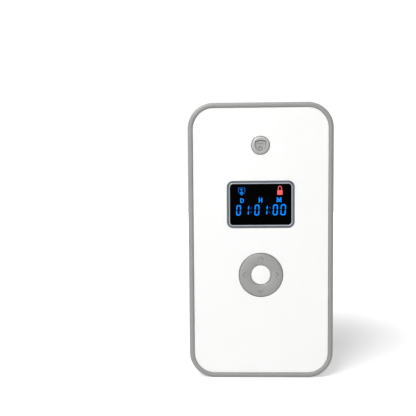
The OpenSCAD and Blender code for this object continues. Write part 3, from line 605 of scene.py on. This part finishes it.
def make_mode():
    s0 = shield(7.6, 8.5, 0, -0.45)
    band = [(-2.1, 0.75), (2.1, 0.75), (2.3, 1.5), (-2.3, 1.5)]
    patch = rr(3.5, 4.1, 1.5, 0, -2.35, 4)
    def relief(x, z):
        h = 0.75 * step(poly_sdf(x, z, s0), 0.36)
        h = h + 0.22 * step(poly_sdf(x, z, band), 0.26)
        h = h + 0.20 * step(poly_sdf(x, z, patch), 0.3)
        h = h - 0.26 * step(np.hypot(x, z + 2.75) - 0.55, 0.45)
        return h
    rs = [(r, None) for r in np.concatenate([[0.0], np.arange(0.22, 5.0, 0.075), np.arange(5.0, 6.42, 0.1), 6.45 + 0.3 * np.sin(np.radians(np.linspace(0, 90, 7)))])]
    rs = [(float(r), None) for r, _ in rs if r > 0.2]
    ang = np.arange(0, 360, 360 / 300)
    b, loops = height_disc("m", MODE_Z, rs + [(6.75, -26.85), (6.65, -26.7)], ang, front_mode, relief, None, None, None, None)
    i, n = loops[0]
    c = len(b.v)
    b.v.append((0, float(front_mode(0) + relief(np.array([0.0]), np.array([0.0]))[0]), MODE_Z))
    b.f += [(c, i + k, i + (k + 1) % n) for k in range(n)]
    # flange, square stem and retaining foot behind
    back = loops[-1]
    sq = lambda y, s: b.loop(resample(rr(s, s, 0.3, 0, MODE_Z, 4), n, 0.0, MODE_Z), y)
    l1 = sq(-26.7, 5.0)
    l2 = sq(-23.72, 5.0)
    l3 = b.loop(circ(4.4, 0, MODE_Z, n), -23.7)
    l4 = b.loop(circ(4.4, 0, MODE_Z, n), -23.2)
    l5 = b.loop(circ(4.3, 0, MODE_Z, n), -23.1)
    b.chain([back, l1, l2, l3, l4, l5])
    b.cap([l5])
    o = add("mode_key_cap", b.v, b.f, [M["control"], M["control_dark"], M["control_deep"], M["cut_rim"], M["control_light"]], "mode_key", ["mode_button"], sharp=48)
    x = np.array([p.center.x / MM for p in o.data.polygons])
    z = np.array([p.center.z / MM for p in o.data.polygons]) - MODE_Z
    y = np.array([p.center.y / MM for p in o.data.polygons])
    wall = np.abs(poly_sdf(x, z, s0) + 0.08) < 0.3
    inner = np.minimum(poly_sdf(x, z, patch), poly_sdf(x, z, band))
    r = np.hypot(x, z)
    for i, p in enumerate(o.data.polygons):
        if y[i] > -27.85:
            continue
        # painted highlight on the slope round the face; the raised dot in the emblem's patch gets the same lighter grey
        if 5.25 < r[i] < 6.4 or np.hypot(x[i], z[i] + 2.75) < 0.62:
            p.material_index = 3
        # painted shade on the shield's walls: darkest on its top wall, the shadow grey below
        elif wall[i] and z[i] > -3.4:
            p.material_index = 1 if z[i] > 2.4 else 2
        # painted shade: the recessed band and patch get the shadow grey
        elif inner[i] < 0:
            p.material_index = 2
        elif r[i] < 5.25:
            p.material_index = 4


def resample(pts, n, cx, cz):
    """n points on an outline, at equal angles about its middle."""
    p = [(x - cx, z - cz) for x, z in pts]
    out = []
    for k in range(n):
        a = 2 * math.pi * k / n
        d = (math.cos(a), math.sin(a))
        best = None
        for i in range(len(p)):
            x0, z0 = p[i - 1]
            x1, z1 = p[i]
            ex, ez = x1 - x0, z1 - z0
            den = d[0] * ez - d[1] * ex
            if abs(den) < 1e-12:
                continue
            t = (x0 * ez - z0 * ex) / den
            u = (x0 * d[1] - z0 * d[0]) / den
            if t > 0 and -1e-6 <= u <= 1 + 1e-6 and (best is None or t > best):
                best = t
        out.append((cx + d[0] * best, cz + d[1] * best))
    return out


make_mode()


def lathe(path, cx, cz, n, b=None, cap_first=True, cap_last=True):
    """Turned shape about a line along Y: path is (radius, y)."""
    b = b or Build()
    loops = []
    for r, y in path:
        loops.append(b.loop(circ(r, cx, cz, n), y))
    b.chain(loops)
    if cap_first:
        b.cap([loops[0]])
    if cap_last:
        b.cap([loops[-1]])
    return b, loops


def make_centre():
    n = 96
    path = []
    # gently domed top with a rounded edge
    for r in (0.6, 1.4, 2.4, 3.4, 4.4, 5.2, 5.9, 6.5):
        path.append((r, -28.7 + 0.10 * (r / 6.5) ** 2.4))
    for i in range(1, 7):
        a = math.radians(90 * i / 6)
        path.append((6.5 + 0.7 * math.sin(a), -28.6 + 0.62 * (1 - math.cos(a))))
    path += [(7.2, -26.95), (7.08, -26.8)]
    b, loops = lathe(path, 0, NAV_Z, n, cap_last=False)
    sq = lambda y, s: b.loop(resample(rr(s, s, 0.3, 0, NAV_Z, 4), n, 0.0, NAV_Z), y)
    l1, l2 = sq(-26.8, 5.0), sq(-23.72, 5.0)
    l3, l4, l5 = b.loop(circ(4.2, 0, NAV_Z, n), -23.7), b.loop(circ(4.2, 0, NAV_Z, n), -23.2), b.loop(circ(4.1, 0, NAV_Z, n), -23.1)
    b.chain([loops[-1], l1, l2, l3, l4, l5])
    b.cap([l5])
    add("centre_key_cap", b.v, b.f, M["centre"], "centre_key", ["centre_button"], sharp=48)


make_centre()


CHEVRON = [(-1.7, 11.05), (0, 12.7), (1.7, 11.05), (2.3, 11.67), (0, 13.9), (-2.3, 11.67)]


def make_ring():
    ro, ri = 16.1, 7.55
    def relief(x, z):
        h = np.zeros(x.shape)
        for k in range(4):
            a = math.radians(90 * k)
            u, v = x * math.cos(a) + z * math.sin(a), -x * math.sin(a) + z * math.cos(a)
            h = np.maximum(h, 0.34 * step(poly_sdf(u, v, CHEVRON), 0.30))
        return h
    def front(r):
        # a crowned band whose two rims are rounded off
        y = -28.93 + 0.52 * abs((r - 11.8) / 4.3) ** 2.2
        e = 0.4
        t = max(0.0, r - (ro - e), (ri + e) - r) / e
        return y + 0.26 * (1 - math.sqrt(max(0.0, 1 - t * t)))
    ang = []
    for k in range(4):
        ang += list(np.arange(90 * k - 13, 90 * k + 13, 0.65)) + list(np.arange(90 * k + 13, 90 * k + 77 - 0.1, 3.2))
    ang = np.array(ang)
    e = 0.4
    rs = list(ri + e - e * np.sin(np.radians(np.linspace(90, 0, 7)))) + [8.25, 8.6, 9.0, 9.4, 9.8, 10.15]
    rs += list(np.arange(10.4, 14.2, 0.13)) + [14.4, 14.7, 15.0, 15.3, 15.6]
    rs += list(ro - 0.38 + 0.38 * np.sin(np.radians(np.linspace(0, 90, 7))))
    lst = [(float(ri + 0.1), -26.7), (float(ri), -26.85)] + [(float(r), None) for r in rs] + [(float(ro), -26.85), (float(ro - 0.12), -26.7)]
    b, loops = height_disc("r", NAV_Z, lst, ang, front, relief, None, None, None, None)
    b.skin(loops[-1], loops[0])
    # four feet that press the switches
    for k in range(4):
        a = math.radians(90 * k)
        lathe([(1.8, -26.75), (1.8, -23.2), (1.65, -23.05)], 12 * math.cos(a), NAV_Z + 12 * math.sin(a), 32, b)
    o = add("nav_key_ring", b.v, b.f, [M["control"], M["control_mid"]], "nav_pad", ["nav_ring"], sharp=50)
    x = np.array([p.center.x / MM for p in o.data.polygons])
    z = np.array([p.center.z / MM for p in o.data.polygons]) - NAV_Z
    mark = np.full(x.shape, 9.0)
    for k in range(4):
        a = math.radians(90 * k)
        u, v = x * math.cos(a) + z * math.sin(a), -x * math.sin(a) + z * math.cos(a)
        mark = np.minimum(mark, poly_sdf(u, v, CHEVRON))
    # painted shade: faces inside the debossed chevrons get the darker grey
    for i, p in enumerate(o.data.polygons):
        if mark[i] < 0.02 and p.center.y < -0.0275:
            p.material_index = 1


make_ring()


# ------------------------------------------------------------------ foam liner of the well, rubber feet
def make_liner():
    """Closed-cell foam, 2 mm: a rolled edge, a pressed seam inside it and a slightly crowned field."""
    b = Build()
    y0, y1 = Y_FLOOR - 2.0, Y_FLOOR
    path = [(0.5, y1), (0.16, y1 - 0.06), (0.0, y1 - 0.25), (0.0, y0 + 0.95)]
    for i in range(1, 7):
        a = math.radians(90 * i / 6)
        path.append((1.5 - 1.5 * math.cos(a), y0 + 0.95 - 0.83 * math.sin(a)))
    for d in np.arange(1.9, 7.6, 0.35):
        path.append((float(d), y0 + 0.12 + 0.62 * math.exp(-((d - 4.4) / 0.95) ** 2)))
    for d in (8.5, 10, 12, 15, 19, 24, 30, 36, 42, 45):
        path.append((d, y0 + 0.12 - 0.10 * math.sin(math.radians(90 * (d - 7.5) / 37.5))))
    loops = [b.loop(rr(92, BH - 15, 11, 0, ZC, 10, d), y) for d, y in path]
    b.chain(loops)
    b.cap([loops[0]])
    b.cap([loops[-1]])
    o = add("cavity_liner", b.v, b.f, M["foam"], "base", ["cavity_pad"], sharp=60)


make_liner()


def make_feet():
    """Moulded rubber buttons: rounded rim, a ring pressed into the top, a shallow dish."""
    b = Build()
    path = [(4.85, 27.02), (4.98, 27.15), (4.98, 28.1)]
    for i in range(1, 7):
        a = math.radians(90 * i / 6)
        path.append((4.08 + 0.9 * math.cos(a), 28.1 + 0.88 * math.sin(a)))
    path += [(3.8, 28.98), (3.62, 28.86), (3.45, 28.70), (3.2, 28.66), (2.95, 28.72), (2.8, 28.86), (2.6, 28.93), (1.8, 28.90), (1.0, 28.84), (0.3, 28.82)]
    for x in (-34, 34):
        for z in (ZC - 82, ZC + 82):
            lathe(path, x, z, 56, b)
    add("foot_buttons", b.v, b.f, M["foot"], "base", ["rubber_feet"], sharp=50)


make_feet()


# ------------------------------------------------------------------ CAD nodes that stay: materials
STAY = {
    "base_tub": "shell", "lid_shell": "shell", "inner_cover": "shell", "hinge_pin": "steel_pin", "strike_plates": "steel",
    "strike_screws": "steel", "cavity_pad": "foam", "rubber_feet": "foot", "display_module": "module", "main_board": "board",
    "board_components": "chip", "tact_switches": "chip", "usb_port": "steel", "buzzer": "chip", "board_screws": "steel",
    "battery_cell": "foil", "battery_leads": "wire_red", "motor_can": "steel", "gearbox": "brass", "motor_clamp": "steel",
    "clamp_screws": "steel", "motor_leads": "wire_red", "latch_guides": "guide", "latch_switch": "chip", "cover_screws": "steel",
    "nav_rocker_plate": "rocker", "latch_bar": "steel", "latch_hooks": "steel", "motor_shaft": "steel_pin", "drive_pinion": "acetal",
}
for node, key in STAY.items():
    o = N[node]
    if not o.data.materials:
        o.data.materials.append(M[key])
    for i in range(len(o.data.materials)):
        o.data.materials[i] = M[key]


# moulded edges are never knife-sharp: a fine round on the shells that stay
for node, width in (("base_tub", 0.3), ("lid_shell", 0.3), ("inner_cover", 0.25)):
    o = N[node]
    weld = o.modifiers.new("weld", "WELD")
    weld.merge_threshold = 1e-6
    merge = o.modifiers.new("flats", "DECIMATE")
    merge.decimate_type = "DISSOLVE"
    merge.angle_limit = math.radians(1.0)
    edge = o.modifiers.new("rounds", "BEVEL")
    edge.width = width * MM
    edge.segments = 2
    edge.limit_method = "ANGLE"
    edge.angle_limit = math.radians(35)
    edge.use_clamp_overlap = True
    shade = o.modifiers.new("shade", "WEIGHTED_NORMAL")
    shade.weight = 100


# ------------------------------------------------------------------ stage, light, camera
def make_stage():
    """A pale round table with painted light: its glow, seen only by the camera, is weakest beside the box where its
    shadow falls and rises towards the rim, so no horizon line shows.
    """
    b = Build()
    n = 96
    loops = [b.loop3([(r * math.cos(2 * math.pi * i / n), r * math.sin(2 * math.pi * i / n), 0) for i in range(n)]) for r in (250, 500, 900, 1400, 2000)]
    b.chain(loops)
    i, k = loops[0]
    b.f.append(tuple(range(i, i + k)))
    me = bpy.data.meshes.new("floor")
    me.from_pydata([tuple(c * MM for c in v) for v in b.v], [], b.f)
    o = bpy.data.objects.new("floor", me)
    scene.collection.objects.link(o)
    m, nt, bs, co = new_mat("floor_pale_painted_glow")
    nt.links.new(ramp(nt, noise(nt, co, 3.0, 2.0, 0.5), [(0.3, (0.70, 0.70, 0.70)), (0.7, (0.72, 0.72, 0.72))]), bs.inputs["Base Color"])
    dist = nt.nodes.new("ShaderNodeVectorMath")
    dist.operation = "DISTANCE"
    dist.inputs[1].default_value = PAINTED_SHADOW_CENTRE
    nt.links.new(co, dist.inputs[0])
    glow = nt.nodes.new("ShaderNodeMapRange")
    glow.inputs["From Min"].default_value = FLOOR_PAINTED_GLOW[0]
    glow.inputs["From Max"].default_value = FLOOR_PAINTED_GLOW[1]
    glow.inputs["To Min"].default_value = 0.25
    glow.inputs["To Max"].default_value = FLOOR_PAINTED_GLOW[2]
    nt.links.new(dist.outputs["Value"], glow.inputs["Value"])
    # the glow is only seen: it doesn't light the box from below
    path = nt.nodes.new("ShaderNodeLightPath")
    seen = nt.nodes.new("ShaderNodeMath")
    seen.operation = "MULTIPLY"
    nt.links.new(glow.outputs[0], seen.inputs[0])
    nt.links.new(path.outputs["Is Camera Ray"], seen.inputs[1])
    nt.links.new(seen.outputs[0], bs.inputs["Emission Strength"])
    bs.inputs["Emission Color"].default_value = (1, 1, 1, 1)
    bs.inputs["Roughness"].default_value = 0.9
    bs.inputs["Specular IOR Level"].default_value = 0.1
    me.materials.append(m)


# painted shadow: the floor's glow is dimmest beside the box, where its shadow falls
PAINTED_SHADOW_CENTRE = (0.07, 0.055, 0.0)
FLOOR_PAINTED_GLOW = (0.0, 0.5, 1.0)
make_stage()


def make_world(base, extra, towards):
    """Seen white. As light, dimmer, and brighter from one side."""
    w = bpy.data.worlds.new("studio")
    scene.world = w
    w.use_nodes = True
    nt = w.node_tree
    nt.nodes.clear()
    out = nt.nodes.new("ShaderNodeOutputWorld")
    mixs = nt.nodes.new("ShaderNodeMixShader")
    path = nt.nodes.new("ShaderNodeLightPath")
    seen = nt.nodes.new("ShaderNodeBackground")
    seen.inputs[0].default_value = (1, 1, 1, 1)
    seen.inputs[1].default_value = 1.05
    fill = nt.nodes.new("ShaderNodeBackground")
    fill.name = "fill"
    fill.inputs[0].default_value = (1, 1, 1, 1)
    co = nt.nodes.new("ShaderNodeTexCoord")
    dot = nt.nodes.new("ShaderNodeVectorMath")
    dot.operation = "DOT_PRODUCT"
    dot.inputs[1].default_value = Vector(towards).normalized()
    nt.links.new(co.outputs["Generated"], dot.inputs[0])
    mr = nt.nodes.new("ShaderNodeMapRange")
    mr.name = "fill_range"
    mr.interpolation_type = "SMOOTHSTEP"
    mr.inputs["From Min"].default_value = -0.6
    mr.inputs["From Max"].default_value = 1.0
    mr.inputs["To Min"].default_value = base
    mr.inputs["To Max"].default_value = base + extra
    nt.links.new(dot.outputs["Value"], mr.inputs["Value"])
    nt.links.new(mr.outputs[0], fill.inputs[1])
    nt.links.new(path.outputs["Is Camera Ray"], mixs.inputs[0])
    nt.links.new(fill.outputs[0], mixs.inputs[1])
    nt.links.new(seen.outputs[0], mixs.inputs[2])
    nt.links.new(mixs.outputs[0], out.inputs[0])


make_world(0.20, 0.24, (-0.6, -0.45, 0.65))


def area(name, loc, target, size, power, size_y=None, color=(1, 1, 1)):
    d = bpy.data.lights.new(name, "AREA")
    d.energy = power
    d.color = color
    d.shape = "RECTANGLE"
    d.size = size
    d.size_y = size_y or size
    o = bpy.data.objects.new(name, d)
    scene.collection.objects.link(o)
    o.location = loc
    o.visible_camera = False
    o.rotation_mode = "QUATERNION"
    o.rotation_quaternion = (Vector(target) - Vector(loc)).to_track_quat("-Z", "Y")
    return o


area("key", (-0.65, -0.9, 1.5), (0, 0, 0.1), 0.8, 26.0)
area("front", (-0.45, -1.75, 0.55), (0, 0, 0.08), 1.4, 5.65)
area("top", (-0.1, 0.1, 1.4), (0, 0, 0.1), 1.6, 3.5)
area("back", (0.7, 1.5, 0.8), (0, 0, 0.1), 1.2, 4.0)

cam_data = bpy.data.cameras.new("photo_camera")
cam = bpy.data.objects.new("photo_camera", cam_data)
scene.collection.objects.link(cam)
cam_data.sensor_width = 36.0
cam_data.lens = 515.0 / 416.0 * 36.0
cam_data.clip_start, cam_data.clip_end = 0.01, 50.0
yaw, pitch, roll = math.radians(-1.509), math.radians(3.103), math.radians(-0.465)
fwd = Vector((math.sin(yaw) * math.cos(pitch), math.cos(yaw) * math.cos(pitch), -math.sin(pitch)))
right = Vector((math.cos(yaw), -math.sin(yaw), 0.0))
up = right.cross(fwd)
r2 = math.cos(roll) * right + math.sin(roll) * up
u2 = -math.sin(roll) * right + math.cos(roll) * up
mat = Matrix((r2, u2, -fwd)).transposed().to_4x4()
mat.translation = Vector((-0.02889, -0.40844, 0.14831))
cam.matrix_world = mat
scene.camera = cam

scene.view_settings.view_transform = "Standard"
scene.view_settings.look = "None"
scene.view_settings.exposure = 0.0
scene.view_settings.gamma = 1.0

bpy.context.view_layer.update()
